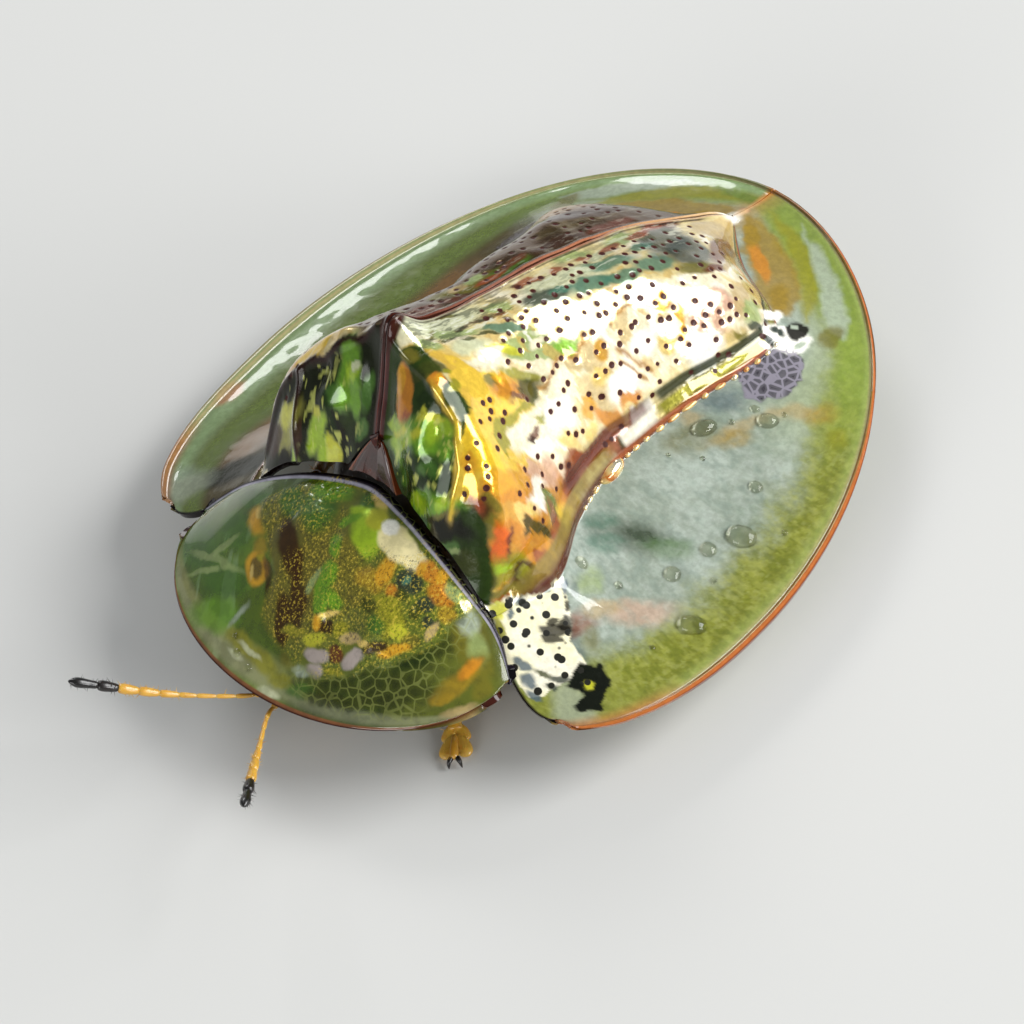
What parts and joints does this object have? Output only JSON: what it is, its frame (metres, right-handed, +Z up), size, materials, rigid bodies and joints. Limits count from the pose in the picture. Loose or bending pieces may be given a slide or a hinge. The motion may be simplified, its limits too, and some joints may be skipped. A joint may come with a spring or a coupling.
{
  "type": "tortoise beetle",
  "caption": "Still, life-size tortoise beetle standing with feelers out: clear wide-rimmed shell with a golden, humped disc, shield over the head, and padded feet.",
  "frame": {"origin": "on the surface that the beetle stands on, under the middle of its outline seen from above, feelers included", "axes": "+Z up, +Y towards the beetle's tail, +X towards its left"},
  "size_m": [0.0116, 0.0154, 0.0059],
  "materials": {
    "gold_shell": "mirror-like gold under a clear lacquer, glassy clear at the wide rims",
    "brown_plate": "glossy dark red-brown horn",
    "underside": "satin dark brown horn",
    "straw_limb": "satin golden-yellow horn, dark at the feelers' tips and claws",
    "eye": "glossy black with fine facets"
  },
  "bodies": {
    "root": {"pronotum": "gold_shell", "elytron_left": "gold_shell", "elytron_right": "gold_shell", "scutellum": "brown_plate", "prothorax": "underside", "thorax": "underside", "abdomen": "underside", "head": "straw_limb", "eye_left": "eye", "eye_right": "eye", "antenna_left": "straw_limb", "antenna_right": "straw_limb", "leg_front_left": "straw_limb", "leg_front_right": "straw_limb", "leg_middle_left": "straw_limb", "leg_middle_right": "straw_limb", "leg_hind_left": "straw_limb", "leg_hind_right": "straw_limb"}
  },
  "joints": []
}
